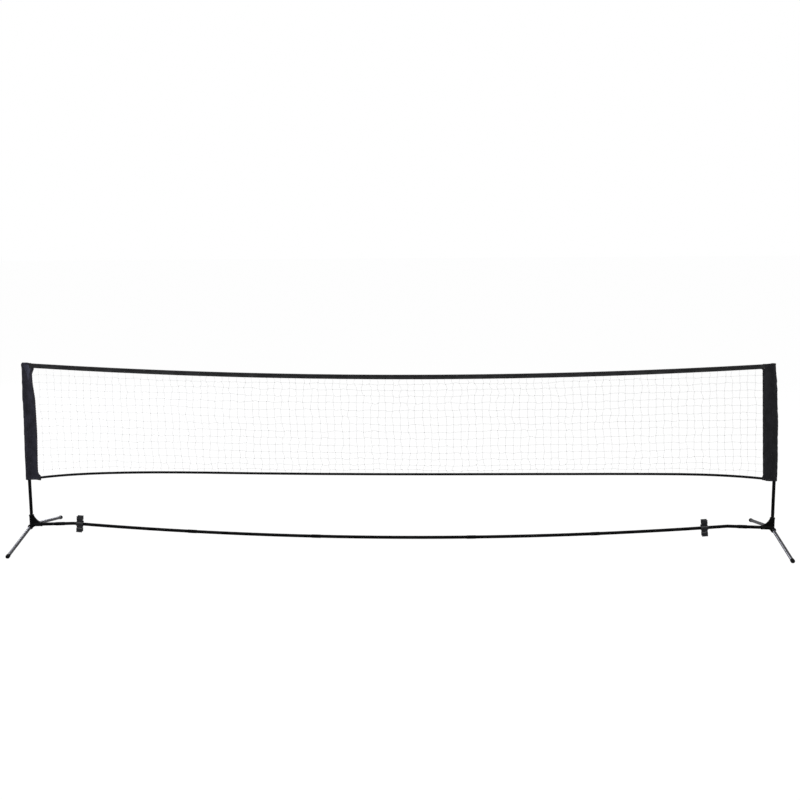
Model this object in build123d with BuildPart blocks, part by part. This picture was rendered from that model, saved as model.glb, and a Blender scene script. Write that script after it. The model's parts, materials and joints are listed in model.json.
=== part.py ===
from build123d import *
from math import asin, cos, degrees, radians, sin, sqrt, tan
import os

# Portable badminton net on a folding stand, shown in its low setting.
# Millimetres, +Z up, X along the net, the front faces -Y, origin on the
# ground in the middle.

os.makedirs("parts", exist_ok=True)

# --- base bar: seven push-fit tubes that bow down to the ground ---
TUBE_R = 10.9  # plain tube
TUBE_BORE = 9.6
BELL_R = 12.2  # widened end that takes the next tube
BELL_BORE = 11.0  # 0.1 mm running fit on the tube
BELL_LENGTH = 60.0
PLUG_IN = 50.0  # how far a tube end goes into a bell
BOW_R = 28000.0  # radius of the bowed bar
GROUND_GAP = 2.0  # under the middle of the bar
LOW_Z = TUBE_R + GROUND_GAP
INNER_LEFT_X = -519.0  # ends of the centre tube
INNER_RIGHT_X = 537.0
JOINT_OUTER_X = 1372.0
KNEE_X = 2219.0  # sharp bend near each end
KNEE_BEND_R = 60.0
STUB_JOINT_X = 2290.0
STUB_RISE = 1.8  # degrees, from the corner up to the knee

# --- corners, poles and feet ---
HUB_X = 2517.0  # pole axis
LEG_X = HUB_X - 2.0  # where the legs start
# degrees each leg turns toward the middle of the net, by side and front or back
LEG_IN = {(-1, -1): 1.9, (-1, 1): 2.7, (1, -1): 0.1, (1, 1): 1.1}
POLE_IN_R = 9.5  # lower pole
POLE_IN_BORE = 8.3
POLE_OUT_BORE = 9.6  # upper pole slides over the lower one
POLE_OUT_R = 10.9
POLE_FOOT = 76.0  # lower end of the upper pole, above the corner's axis
POLE_END_Z = 1192.0  # end of the upper tube, under its cap
CAP_HEIGHT = 8.0
BEND_FROM_Z = 600.0  # the pull of the net bends the upper poles inward above this height
POLE_LEAN = {-1: 8.0, 1: 38.0}  # how far the bent end stands inward, left and right
TRAVEL = 370.0  # low setting to badminton height
LOCK_LOW = 105.0  # locking holes above the corner's axis
LOCK_MID = 304.0
LOCK_HIGH = LOCK_LOW + TRAVEL
LOWER_POLE_END = LOCK_HIGH + 26.0
BUTTON_R = 3.2
BUTTON_OUT = 13.2  # button tip from the pole axis
BUTTON_HELD = 9.45  # tip of a button held in under the upper pole
LEG_R = 11.0
LEG_BORE = 9.8
LEG_DOWN = 9.08  # degrees
LEG_START = 18.0
LEG_END = 505.0
FOOT_R = 13.8
FOOT_START = 496.0  # open rim of the rubber cap
FOOT_END = 519.0

# --- net and its fabric edges ---
SLEEVE_IN_R = 11.2
SLEEVE_OUT_R = 12.6
FLAP_HALF = 1.3
FLAP_X = {-1: (-2455.0, -2458.0), 1: (2444.0, 2412.0)}  # free edge at the hem and at the top tape
SLEEVE_Z = {-1: (398.0, 1216.0), 1: (411.0, 1197.0)}
LID = 1.4  # cloth over the end of the left pole
TOP_TAPE_HEIGHT = 31.0
TOP_TAPE_HALF = 3.2
TOP_TAPE_END_Z = (1195.0, 1178.5)  # tape centre at the left and right end
TOP_SAG = 73.0
HEM_END_Z = (421.0, 428.0)
HEM_HEIGHT = 16.0
HEM_HALF = 1.5
NET_HALF = 0.25
CORD_R = 2.0
SEAM_GAP = 0.3

# --- storage clips on the bar ---
CLIP_LEFT_X = -2182.0
CLIP_RIGHT_X = 2069.0
CLIP_BORE = 11.02
CLIP_R = 15.0
CLIP_LENGTH = 48.0
JAW_OFFSET = 38.0
JAW_BORE = 11.0
JAW_R = 14.6
JAW_LENGTH = 40.0


def bow_angle(x):
    """Angle of the bowed bar at x, in degrees."""
    return degrees(asin(x / BOW_R))


def bow_z(x):
    """Height of the bar's axis at x."""
    return LOW_Z + BOW_R - sqrt(BOW_R**2 - x**2)


# the knee turns from the bow's slope to the end tube's slope
SLOPE_IN = radians(bow_angle(KNEE_X))
SLOPE_OUT = radians(STUB_RISE)
AFTER_KNEE_X = KNEE_X + KNEE_BEND_R * (sin(SLOPE_IN) + sin(SLOPE_OUT))
AFTER_KNEE_Z = bow_z(KNEE_X) + KNEE_BEND_R * (cos(SLOPE_OUT) - cos(SLOPE_IN))
HUB_Z = AFTER_KNEE_Z - (HUB_X - AFTER_KNEE_X) * tan(SLOPE_OUT)
STUB_LENGTH = (HUB_X - AFTER_KNEE_X) / cos(SLOPE_OUT)  # corner to the end of the knee
STUB_JOINT = (HUB_X - STUB_JOINT_X) / cos(SLOPE_OUT)


def bow_plane(x):
    """Plane across the bar at x: local x is depth, local y is up."""
    a = radians(bow_angle(x))
    return Plane(origin=(x, 0, bow_z(x)), x_dir=(0, 1, 0), z_dir=(cos(a), 0, sin(a)))


def bow_tube(x0, x1, radius, bore):
    """Round tube that follows the bow from x0 to x1."""
    with BuildSketch(bow_plane(x0)) as section:
        Circle(radius)
        Circle(bore, mode=Mode.SUBTRACT)
    revolve(
        section.sketch,
        axis=Axis((0, 0, LOW_Z + BOW_R), (0, -1, 0)),
        revolution_arc=bow_angle(x1) - bow_angle(x0),
    )


def rod(origin, direction, start, end, radius, mode=Mode.ADD, bevel=0.0):
    """Cylinder along a direction, from start to end, with an optional bevel at its end."""
    d = Vector(*direction).normalized()
    base = Vector(*origin) + d * start
    with BuildSketch(Plane(origin=base, z_dir=d)) as section:
        Circle(radius)
    extrude(section.sketch, amount=end - start - bevel, mode=mode)
    if bevel:
        neck = base + d * (end - start - bevel)
        with BuildSketch(Plane(origin=neck, z_dir=d)) as section:
            Circle(radius)
        extrude(section.sketch, amount=bevel, taper=45, mode=mode)


def belled_bow(x0, x1):
    """Bowed tube from x0 to x1 with its bell at x1."""
    bow_tube(x0, x1 - BELL_LENGTH, TUBE_R, TUBE_BORE)
    bow_tube(x1 - BELL_LENGTH, x1 - BELL_LENGTH + 4, BELL_R, TUBE_BORE)
    bow_tube(x1 - BELL_LENGTH + 4, x1, BELL_R, BELL_BORE)


def knee_and_end(side):
    """The knee and the straight end beyond it, which plugs into the corner's end tube."""
    centre = (
        side * (KNEE_X + KNEE_BEND_R * sin(SLOPE_IN)),
        0,
        bow_z(KNEE_X) - KNEE_BEND_R * cos(SLOPE_IN),
    )
    with BuildSketch(bow_plane(side * KNEE_X)) as section:
        Circle(TUBE_R)
        Circle(TUBE_BORE, mode=Mode.SUBTRACT)
    revolve(
        section.sketch,
        axis=Axis(centre, (0, side, 0)),
        revolution_arc=degrees(SLOPE_IN + SLOPE_OUT),
    )
    after = (side * AFTER_KNEE_X, 0, AFTER_KNEE_Z)
    down = (side * cos(SLOPE_OUT), 0, -sin(SLOPE_OUT))
    with BuildSketch(Plane(origin=after, z_dir=down)) as section:
        Circle(TUBE_R)
        Circle(TUBE_BORE, mode=Mode.SUBTRACT)
    extrude(section.sketch, amount=STUB_LENGTH - STUB_JOINT + PLUG_IN)


def stub_axis(side):
    """Corner centre and the direction of the bar's end tube, going inward."""
    return (side * HUB_X, 0, HUB_Z), (-side * cos(SLOPE_OUT), 0, sin(SLOPE_OUT))


def leg_axis(side, front, turn_in):
    """Start point and direction of a leg turned inward by so many degrees."""
    down, turned = radians(LEG_DOWN), radians(turn_in)
    level = cos(down)
    direction = (-side * sin(turned) * level, front * cos(turned) * level, -sin(down))
    return (side * LEG_X, 0, HUB_Z), direction


def bend_radius(side):
    """Radius of the upper pole's bend."""
    rise = POLE_END_Z - BEND_FROM_Z
    return (rise**2 + POLE_LEAN[side] ** 2) / (2 * POLE_LEAN[side])


def pole_angle(side, z):
    """How far the upper pole leans at height z, in radians."""
    return asin(max(z - BEND_FROM_Z, 0) / bend_radius(side))


def pole_x(side, z):
    """Pole axis at height z."""
    return side * (HUB_X - bend_radius(side) * (1 - cos(pole_angle(side, z))))


def pole_tangent(side, z):
    """Direction of the pole at height z, going up."""
    lean = pole_angle(side, z)
    return (-side * sin(lean), 0, cos(lean))


def pole_run(side, low, high, radius, mode=Mode.ADD):
    """Round bar along the pole's axis, straight below the bend and curved above it."""
    rod((side * HUB_X, 0, 0), (0, 0, 1), low, BEND_FROM_Z, radius, mode)
    with BuildSketch(Plane(origin=(side * HUB_X, 0, BEND_FROM_Z), z_dir=(0, 0, 1))) as section:
        Circle(radius)
    revolve(
        section.sketch,
        axis=Axis((side * (HUB_X - bend_radius(side)), 0, BEND_FROM_Z), (0, -side, 0)),
        revolution_arc=degrees(pole_angle(side, high)),
        mode=mode,
    )


def write(block, label):
    """Labels a sub-part and writes it."""
    block.part.label = label
    export_step(block.part, "parts/" + label + ".step")


# ---------------------------------------------------------------- base tubes

with BuildPart() as base_tube_centre:
    belled_bow(INNER_LEFT_X - PLUG_IN, INNER_RIGHT_X)
write(base_tube_centre, "base_tube_centre")

with BuildPart() as base_tube_inner_left:
    belled_bow(-JOINT_OUTER_X - PLUG_IN, INNER_LEFT_X)
write(base_tube_inner_left, "base_tube_inner_left")

with BuildPart() as base_tube_inner_right:
    belled_bow(INNER_RIGHT_X - PLUG_IN, JOINT_OUTER_X)
write(base_tube_inner_right, "base_tube_inner_right")

for name, side in (("left", -1), ("right", 1)):
    with BuildPart() as base_tube_outer:
        if side < 0:
            belled_bow(-KNEE_X, -JOINT_OUTER_X)
        else:
            bow_tube(JOINT_OUTER_X - PLUG_IN, KNEE_X, TUBE_R, TUBE_BORE)
        knee_and_end(side)
    write(base_tube_outer, "base_tube_outer_" + name)

    corner, inward = stub_axis(side)
    with BuildPart() as base_tube_end:
        rod(corner, inward, 24.3, STUB_JOINT, TUBE_R)
        rod(corner, inward, STUB_JOINT - BELL_LENGTH, STUB_JOINT, BELL_R)
        rod(corner, inward, 24.3, STUB_JOINT, TUBE_BORE, Mode.SUBTRACT)
        rod(corner, inward, STUB_JOINT - BELL_LENGTH + 4, STUB_JOINT, BELL_BORE, Mode.SUBTRACT)
        # pilot hole of the corner's fixing screw
        rod((corner[0] - side * 52, 0, corner[2] + 1.6), (0, -1, 0), 0, 20, 1.9, Mode.SUBTRACT)
    write(base_tube_end, "base_tube_end_" + name)

# ---------------------------------------------------------------- corner hubs

# both corners are drawn at the left; the right one is then mirrored
corner, inward = stub_axis(-1)
cx = corner[0]
for name, side in (("left", -1), ("right", 1)):
    with BuildPart() as drawn_hub:
        # upright socket with its rim
        rod(corner, (0, 0, 1), -12, 66, 15.4)
        rod(corner, (0, 0, -1), 10, 18.5, 15.4, bevel=2)
        rod(corner, (0, 0, 1), 60, 70, 17.2, bevel=1.5)
        # bar socket with its rim
        rod(corner, inward, 0, 70, 13.8)
        rod(corner, inward, 64, 72, 14.8, bevel=1.2)
        # leg sockets with their collars
        for front in (-1, 1):
            foot_root, down = leg_axis(-1, front, LEG_IN[side, front])
            rod(foot_root, down, 0, 44, 14.4)
            rod(foot_root, down, 38, 47, 17.8, bevel=1.5)
        # gusset with a hollow curved edge
        with BuildSketch(Plane.XZ) as gusset:
            with BuildLine():
                a = (cx + 10, HUB_Z + 60)
                b = (cx + 16, HUB_Z + 60)
                m = (cx + 36, HUB_Z + 33)
                c = (cx + 66, HUB_Z + 14)
                d = (cx + 66, HUB_Z + 4)
                e = (cx + 10, HUB_Z + 4)
                Line(a, b)
                ThreePointArc(b, m, c)
                Polyline(c, d, e, a)
            make_face()
        extrude(gusset.sketch, amount=8, both=True)
        # under-web between the leg sockets and the bar socket
        with BuildSketch(Plane.XY.offset(HUB_Z - 11)) as keel:
            with Locations((cx + 24, 0)):
                Rectangle(44, 14)
        extrude(keel.sketch, amount=8)
        # bores
        rod(corner, (0, 0, 1), 14, 90, POLE_OUT_BORE, Mode.SUBTRACT)
        rod(corner, inward, 24, 90, BELL_BORE, Mode.SUBTRACT)
        for front in (-1, 1):
            foot_root, down = leg_axis(-1, front, LEG_IN[side, front])
            rod(foot_root, down, LEG_START - 0.5, 60, LEG_R + 0.1, Mode.SUBTRACT)
        # screw holes in the front of the two sockets
        rod((cx + 52, 0, HUB_Z + 1.6), (0, -1, 0), 8, 20, 2.1, Mode.SUBTRACT)
        rod((cx, 0, HUB_Z + 44), (0, -1, 0), 8, 20, 2.1, Mode.SUBTRACT)
    with BuildPart() as corner_hub:
        if side < 0:
            add(drawn_hub.part)
        else:
            mirror(drawn_hub.part, about=Plane.YZ)
    write(corner_hub, "corner_hub_" + name)

for name, side in (("left", -1), ("right", 1)):
    corner, inward = stub_axis(side)
    cx = corner[0]
    # pan-head screws that hold the end tube and the lower pole
    for level, spot, face in (
        ("bar", (cx - side * 52, 0, HUB_Z + 1.6), 14.0),
        ("pole", (cx, 0, HUB_Z + 44), 15.6),
    ):
        with BuildPart() as hub_screw:
            rod(spot, (0, -1, 0), 6.0, face, 1.8)
            rod(spot, (0, -1, 0), face, face + 2.4, 3.9, bevel=0.9)
            rod(spot, (0, -1, 0), face + 1.0, face + 3, 1.2, Mode.SUBTRACT)
        write(hub_screw, "hub_screw_" + level + "_" + name)

# ---------------------------------------------------------------- poles

for name, side in (("left", -1), ("right", 1)):
    foot = (side * HUB_X, 0, HUB_Z)
    with BuildPart() as lower_pole:
        rod(foot, (0, 0, 1), 14.3, LOWER_POLE_END, POLE_IN_R)
        rod(foot, (0, 0, 1), 14.3, LOWER_POLE_END, POLE_IN_BORE, Mode.SUBTRACT)
        for height in (LOCK_LOW, LOCK_HIGH):
            rod((foot[0], 0, HUB_Z + height), (1, 0, 0), 2, 14, BUTTON_R + 0.15, Mode.SUBTRACT)
        rod((foot[0], 0, HUB_Z + 44), (0, -1, 0), 2, 14, 1.9, Mode.SUBTRACT)
    write(lower_pole, "lower_pole_" + name)

    with BuildPart() as lower_pole_bush:
        rod(foot, (0, 0, 1), LOWER_POLE_END - 16, LOWER_POLE_END + 0.2, POLE_IN_BORE - 0.1)
        rod(foot, (0, 0, 1), LOWER_POLE_END + 0.2, LOWER_POLE_END + 4, POLE_IN_R, bevel=1.0)
        rod(foot, (0, 0, 1), LOWER_POLE_END - 20, LOWER_POLE_END + 10, 5.0, Mode.SUBTRACT)
    write(lower_pole_bush, "lower_pole_bush_" + name)

    with BuildPart() as upper_pole:
        pole_run(side, HUB_Z + POLE_FOOT, POLE_END_Z, POLE_OUT_R)
        pole_run(side, HUB_Z + POLE_FOOT, POLE_END_Z, POLE_OUT_BORE, Mode.SUBTRACT)
        for height in (LOCK_LOW, LOCK_MID):
            rod((foot[0], 0, HUB_Z + height), (1, 0, 0), 2, 14, BUTTON_R + 0.25, Mode.SUBTRACT)
    write(upper_pole, "upper_pole_" + name)

    end = (pole_x(side, POLE_END_Z), 0, POLE_END_Z)
    onward = pole_tangent(side, POLE_END_Z)
    with BuildPart() as pole_cap:
        rod(end, onward, -22, 0, POLE_OUT_BORE - 0.1)
        rod(end, onward, 0, CAP_HEIGHT, POLE_OUT_R)
        rod(end, onward, -26, CAP_HEIGHT - 3, 7.6, Mode.SUBTRACT)
        crown = pole_cap.edges().filter_by(GeomType.CIRCLE).sort_by(Axis.Z)[-1]
        fillet(crown, radius=5.0)
    write(pole_cap, "pole_cap_" + name)

    # locking buttons: the low one stands out of its hole, the high one is held in
    for level, height, tip in (
        ("low", LOCK_LOW, BUTTON_OUT),
        ("high", LOCK_HIGH, BUTTON_HELD),
    ):
        spot = (foot[0], 0, HUB_Z + height)
        with BuildPart() as snap_button:
            rod(spot, (1, 0, 0), tip - 8.7, tip, BUTTON_R)
            rod(spot, (1, 0, 0), tip - 7.8, tip - 6.7, 4.6)
            crown = snap_button.edges().filter_by(GeomType.CIRCLE).sort_by(Axis.X)[-1]
            fillet(crown, radius=1.6)
        write(snap_button, "snap_button_" + level + "_" + name)

        # V-shaped leaf spring behind the button
        reach = tip - 8.7 - 0.4
        with BuildPart() as snap_spring:
            with BuildSketch(Plane.XZ) as strip:
                with BuildLine():
                    x = foot[0]
                    z = HUB_Z + height
                    Polyline(
                        (x + reach, z + 5),
                        (x + reach, z - 5),
                        (x - 2.0, z - 44),
                        (x - 4.4, z - 44),
                        (x - 7.4, z - 5),
                        (x - 7.4, z + 5),
                        (x - 6.7, z + 5),
                        (x - 6.7, z - 5),
                        (x - 3.8, z - 43.2),
                        (x - 2.5, z - 43.2),
                        (x + reach - 0.7, z - 5),
                        (x + reach - 0.7, z + 5),
                        close=True,
                    )
                make_face()
            extrude(strip.sketch, amount=3, both=True)
        write(snap_spring, "snap_spring_" + level + "_" + name)

# ---------------------------------------------------------------- legs

for name, side in (("left", -1), ("right", 1)):
    for place, front in (("front", -1), ("back", 1)):
        root, down = leg_axis(side, front, LEG_IN[side, front])
        with BuildPart() as leg_tube:
            rod(root, down, LEG_START, LEG_END, LEG_R)
            rod(root, down, LEG_START, LEG_END, LEG_BORE, Mode.SUBTRACT)
        write(leg_tube, "leg_tube_" + place + "_" + name)

        with BuildPart() as leg_cap:
            rod(root, down, FOOT_START, FOOT_END, FOOT_R)
            crown = leg_cap.edges().filter_by(GeomType.CIRCLE).sort_by(Axis.Y)
            fillet(crown[0] if front < 0 else crown[-1], radius=8.0)
            rod(root, down, FOOT_START - 2, LEG_END + 0.2, LEG_R + 0.05, Mode.SUBTRACT)
            # flat under the foot
            with Locations((root[0] + FOOT_END * down[0], front * FOOT_END, -10)):
                Box(60, 120, 20, mode=Mode.SUBTRACT)
        write(leg_cap, "leg_cap_" + place + "_" + name)

# ---------------------------------------------------------------- net


def flap_x(side, z):
    """Free edge of a sleeve's flap at height z, where the net is sewn in."""
    end = 0 if side < 0 else 1
    low, high = FLAP_X[side]
    share = (z - HEM_END_Z[end]) / (TOP_TAPE_END_Z[end] - HEM_END_Z[end])
    return low + share * (high - low)


def top_tape_z(x):
    """Height of the top tape's centre line, which sags between the poles."""
    first, last = FLAP_X[-1][1], FLAP_X[1][1]
    u = (2 * x - first - last) / (last - first)
    chord = sum(TOP_TAPE_END_Z) / 2 + u * (TOP_TAPE_END_Z[1] - TOP_TAPE_END_Z[0]) / 2
    return chord - TOP_SAG * (1 - u * u)


TOP_X = [FLAP_X[-1][1]] + [600.0 * i for i in range(-3, 4)] + [FLAP_X[1][1]]
HEM_X = [FLAP_X[-1][0], -2160, -1880, -1600, -1000, 0, 1000, 1700, 2160, FLAP_X[1][0]]
HEM_Z = [HEM_END_Z[0], 447, 457.5, 461, 456, 451.5, 455, 457, 449, HEM_END_Z[1]]
TOP_LINE = [(x, top_tape_z(x)) for x in TOP_X]
HEM_LINE = list(zip(HEM_X, HEM_Z))


def shifted(line, dz):
    """The same line raised by dz, with its ends kept just inside the flaps' edges."""
    raised = [(x, z + dz) for x, z in line]
    first, last = raised[0][1], raised[-1][1]
    raised[0] = (flap_x(-1, first) + SEAM_GAP, first)
    raised[-1] = (flap_x(1, last) - SEAM_GAP, last)
    return raised


def band(lower, upper, half, mode=Mode.ADD):
    """Flat band between two sagging edges, standing in the net's plane."""
    with BuildSketch(Plane.XZ) as outline:
        with BuildLine():
            Spline(*lower)
            Line(lower[-1], upper[-1])
            Spline(*upper)
            Line(upper[0], lower[0])
        make_face()
    extrude(outline.sketch, amount=half, both=True, mode=mode)


with BuildPart() as net_top_tape:
    band(
        shifted(TOP_LINE, -TOP_TAPE_HEIGHT / 2),
        shifted(TOP_LINE, TOP_TAPE_HEIGHT / 2),
        TOP_TAPE_HALF,
    )
    # channel of the headline cord
    band(shifted(TOP_LINE, 7.0), shifted(TOP_LINE, 12.0), 2.4, Mode.SUBTRACT)
write(net_top_tape, "net_top_tape")

with BuildPart() as headline_cord:
    with BuildLine(Plane.XZ) as headline:
        Spline(*shifted(TOP_LINE, 9.5))
    with BuildSketch(Plane(origin=headline.line @ 0, z_dir=headline.line % 0)) as cord_section:
        RegularPolygon(CORD_R, side_count=12)
    sweep(cord_section.sketch, path=headline.line)
write(headline_cord, "headline_cord")

with BuildPart() as net_bottom_tape:
    band(shifted(HEM_LINE, -HEM_HEIGHT / 2), shifted(HEM_LINE, HEM_HEIGHT / 2), HEM_HALF)
write(net_bottom_tape, "net_bottom_tape")

with BuildPart() as net_mesh:
    band(
        shifted(HEM_LINE, HEM_HEIGHT / 2 + SEAM_GAP),
        shifted(TOP_LINE, -TOP_TAPE_HEIGHT / 2 - SEAM_GAP),
        NET_HALF,
    )
write(net_mesh, "net_mesh")

for name, side in (("left", -1), ("right", 1)):
    low, high = SLEEVE_Z[side]
    with BuildPart() as net_sleeve:
        pole_run(side, low, high, SLEEVE_OUT_R)
        with BuildSketch(Plane.XZ) as flap:
            with BuildLine():
                bend = (pole_x(side, BEND_FROM_Z), BEND_FROM_Z)
                half_way = (pole_x(side, (BEND_FROM_Z + high) / 2), (BEND_FROM_Z + high) / 2)
                corner_top = (pole_x(side, high), high)
                ThreePointArc(bend, half_way, corner_top)
                Polyline(
                    corner_top,
                    (flap_x(side, high), high),
                    (flap_x(side, low), low),
                    (side * HUB_X, low),
                    bend,
                )
            make_face()
        extrude(flap.sketch, amount=FLAP_HALF, both=True)
        # the left sleeve is sewn shut over the pole
        bore_end = high - LID if side < 0 else high + 6
        pole_run(side, low, bore_end, SLEEVE_IN_R, Mode.SUBTRACT)
    write(net_sleeve, "net_sleeve_" + name)

# ---------------------------------------------------------------- storage clips

for name, x, inner in (("left", CLIP_LEFT_X, 1), ("right", CLIP_RIGHT_X, -1)):
    across = bow_plane(x)

    with BuildPart() as clip_body:
        with BuildSketch(across) as collar:
            Circle(CLIP_R)
            with Locations((19, 0)):
                Rectangle(16, 13)
        extrude(collar.sketch, amount=CLIP_LENGTH / 2, both=True)
        # necks, snap jaws and their flared lips, above and below the bar
        for up in (1, -1):
            with BuildSketch(across) as jaw:
                with Locations((0, up * 19)):
                    Rectangle(16, 16)
                with Locations((0, up * JAW_OFFSET)):
                    Circle(JAW_R)
                with Locations((0, up * JAW_OFFSET)):
                    Circle(JAW_BORE, mode=Mode.SUBTRACT)
                with BuildLine():
                    Polyline(
                        (0, up * JAW_OFFSET),
                        (22, up * (JAW_OFFSET + 20)),
                        (-22, up * (JAW_OFFSET + 20)),
                        close=True,
                    )
                make_face(mode=Mode.SUBTRACT)
                for lean in (1, -1):
                    with BuildLine():
                        Polyline(
                            (lean * 7.9, up * (JAW_OFFSET + 7.6)),
                            (lean * 11.2, up * (JAW_OFFSET + 6.6)),
                            (lean * 16.0, up * (JAW_OFFSET + 16.6)),
                            (lean * 14.6, up * (JAW_OFFSET + 18.6)),
                            (lean * 12.6, up * (JAW_OFFSET + 17.6)),
                            close=True,
                        )
                    make_face()
            extrude(jaw.sketch, amount=JAW_LENGTH / 2, both=True)
        # bore, slit and ears
        with BuildSketch(across) as bore:
            Circle(CLIP_BORE)
            with Locations((20, 0)):
                Rectangle(26, 2.6)
        extrude(bore.sketch, amount=CLIP_LENGTH, both=True, mode=Mode.SUBTRACT)
        for end in (1, -1):
            with BuildSketch(across.offset(end * 10)) as relief:
                with Locations((24, 0)):
                    Rectangle(17, 20)
            extrude(relief.sketch, amount=end * 20, mode=Mode.SUBTRACT)
        rod(across.from_local_coords((22, 0, 0)), across.y_dir, -12, 12, 2.2, Mode.SUBTRACT)
        # small release nub on the end that faces the middle of the net
        rod(across.from_local_coords((0, 20, 0)), across.z_dir * inner, 16, 27.5, 4.0, bevel=1.2)
    write(clip_body, "clip_body_" + name)

    with BuildPart() as clip_screw:
        ear = across.from_local_coords((22, 0, 0))
        rod(ear, across.y_dir, -11.2, 6.6, 2.0)
        rod(ear, across.y_dir, 6.6, 9.6, 3.9, bevel=0.8)
        rod(ear, across.y_dir, 7.6, 10.2, 1.3, Mode.SUBTRACT)
    write(clip_screw, "clip_screw_" + name)

    with BuildPart() as clip_nut:
        with BuildSketch(Plane(origin=ear, x_dir=across.x_dir, z_dir=-across.y_dir).offset(6.6)) as hexagon:
            RegularPolygon(radius=4.0, side_count=6)
            Circle(2.1, mode=Mode.SUBTRACT)
        extrude(hexagon.sketch, amount=3.2)
    write(clip_nut, "clip_nut_" + name)

print("corner axis height", round(HUB_Z, 3))
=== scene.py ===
import json
import math

import bpy
import numpy as np
from mathutils import Matrix, Vector


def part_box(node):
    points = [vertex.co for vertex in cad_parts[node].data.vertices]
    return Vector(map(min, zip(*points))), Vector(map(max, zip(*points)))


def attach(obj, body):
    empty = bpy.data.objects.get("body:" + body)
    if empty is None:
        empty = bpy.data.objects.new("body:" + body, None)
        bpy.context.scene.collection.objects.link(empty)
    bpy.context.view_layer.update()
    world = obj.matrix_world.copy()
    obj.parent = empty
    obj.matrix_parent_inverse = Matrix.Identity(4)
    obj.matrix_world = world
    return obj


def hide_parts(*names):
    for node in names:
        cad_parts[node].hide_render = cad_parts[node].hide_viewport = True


# Portable badminton net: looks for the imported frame. Metres, +Z up, the front faces -Y.

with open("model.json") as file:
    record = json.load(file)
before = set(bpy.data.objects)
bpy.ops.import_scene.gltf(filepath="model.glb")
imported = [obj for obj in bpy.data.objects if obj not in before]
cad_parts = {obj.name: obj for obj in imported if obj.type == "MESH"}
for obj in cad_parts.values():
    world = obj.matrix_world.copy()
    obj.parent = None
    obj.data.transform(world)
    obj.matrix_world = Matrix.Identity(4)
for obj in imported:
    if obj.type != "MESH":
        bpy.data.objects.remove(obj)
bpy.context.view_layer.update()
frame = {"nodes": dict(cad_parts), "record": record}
nodes = frame["nodes"]
rng = np.random.default_rng(7)

# ---------------------------------------------------------------- sizes

CLOTH = 0.0007  # thickness of the sleeve cloth
TAPE_CLOTH = 0.0008  # thickness of the tapes' cloth
FLAP_HALF = 0.0013  # outer face of the doubled flap from the net's plane
POCKET_R = 0.0125  # cloth round the pole, outside
POCKET_SLACK = 0.017  # how far the pocket reaches past the pole axis
SEAM_D = 0.019  # seam between the pocket and the flap, from the pole axis
FLAP_STEPS = 30  # points across one layer of the flap
POCKET_STEPS = 61  # points round the pocket
FLAP_FILLET = 0.009  # rounding between the flap and the tape
FLAP_SWAY = 0.0016  # how far both layers of the flap wave out of the net's plane
FLAP_FLARE = 0.017  # how far the closed sleeve's flap spreads at its foot
GATHER_PITCH = 0.0172  # height of one gather along the closed sleeve's flap
CLOSED_TOP = 0.0125  # height over which the closed sleeve's top rounds in
FOOT_RISE = 0.010  # how far the sleeves' lower edges are pulled up
PATCH_TALL = 0.105  # corner patches of the left sleeve
MESH = 0.050  # square mesh of the net
NET_ROWS = 15
TWINE_R = 0.00039
TWINE_SIDES = 5
KNOT_R = 0.0012  # loop of a knot
KNOT_WIRE_R = 0.00072  # twine in a knot's loop
STITCH_R = 0.00028
TAPE_STITCH = 0.0052, 0.0038  # pitch and length
SEAM_STITCH = 0.005, 0.0037
PATCH_STITCH = 0.0042, 0.0031
TAPE_STEP = 0.005  # between the tapes' sections
LAP = 0.016  # how far the tapes run over the sleeves
SKY_LIGHT = 0.2  # light from the surroundings; the backdrop itself is white
FLOOR_HALF = 60.0
FLOOR_Z = -0.0005
FLOOR_GLOW = 0.98
CAMERA_PLACE = (0.392, -7.6238, 2.1413)  # place, lens and turns fitted to the photograph's edges
CAMERA_LENS = 52.03
CAMERA_DOWN, CAMERA_LEFT, CAMERA_ROLL = (math.radians(angle) for angle in (8.808, 2.7142, -0.455))


# ---------------------------------------------------------------- small tools

def link(obj):
    bpy.context.scene.collection.objects.link(obj)
    return obj


def smooth(x, low, high):
    """0 below low, 1 above high, smooth between; low may be above high."""
    t = np.clip((np.asarray(x, float) - low) / (high - low), 0.0, 1.0)
    return t * t * (3.0 - 2.0 * t)


def wander(count, seed):
    """A few random directions and phases for smooth noise in two coordinates."""
    draw = np.random.default_rng(seed)
    angle = draw.uniform(0, math.tau, count)
    phase = draw.uniform(0, math.tau, count)
    scale = draw.uniform(0.6, 1.6, count)
    return angle, phase, scale


def ripple(a, b, wave_a, wave_b, seed, count=7):
    """Smooth noise about -1 to 1 over coordinates a and b, with these wavelengths."""
    angle, phase, scale = wander(count, seed)
    total = 0.0
    for k in range(count):
        turn = np.cos(angle[k]) * a / wave_a + np.sin(angle[k]) * b / wave_b
        total = total + np.sin(math.tau * scale[k] * turn + phase[k])
    return total / math.sqrt(count)


def mesh_piece(name, points, faces, body, material, uvs):
    """An object from arrays: points (n, 3), quads (m, 4) and one uv for each point."""
    mesh = bpy.data.meshes.new(name)
    mesh.from_pydata(np.asarray(points).tolist(), [], np.asarray(faces).tolist())
    layer = mesh.uv_layers.new(name="metres")
    corner = np.zeros(len(mesh.loops), np.int32)
    mesh.loops.foreach_get("vertex_index", corner)
    layer.data.foreach_set("uv", np.asarray(uvs, np.float32)[corner].ravel())
    mesh.polygons.foreach_set("use_smooth", [True] * len(mesh.polygons))
    mesh.materials.append(material)
    mesh.update()
    obj = link(bpy.data.objects.new(name, mesh))
    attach(obj, body)
    return obj


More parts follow.
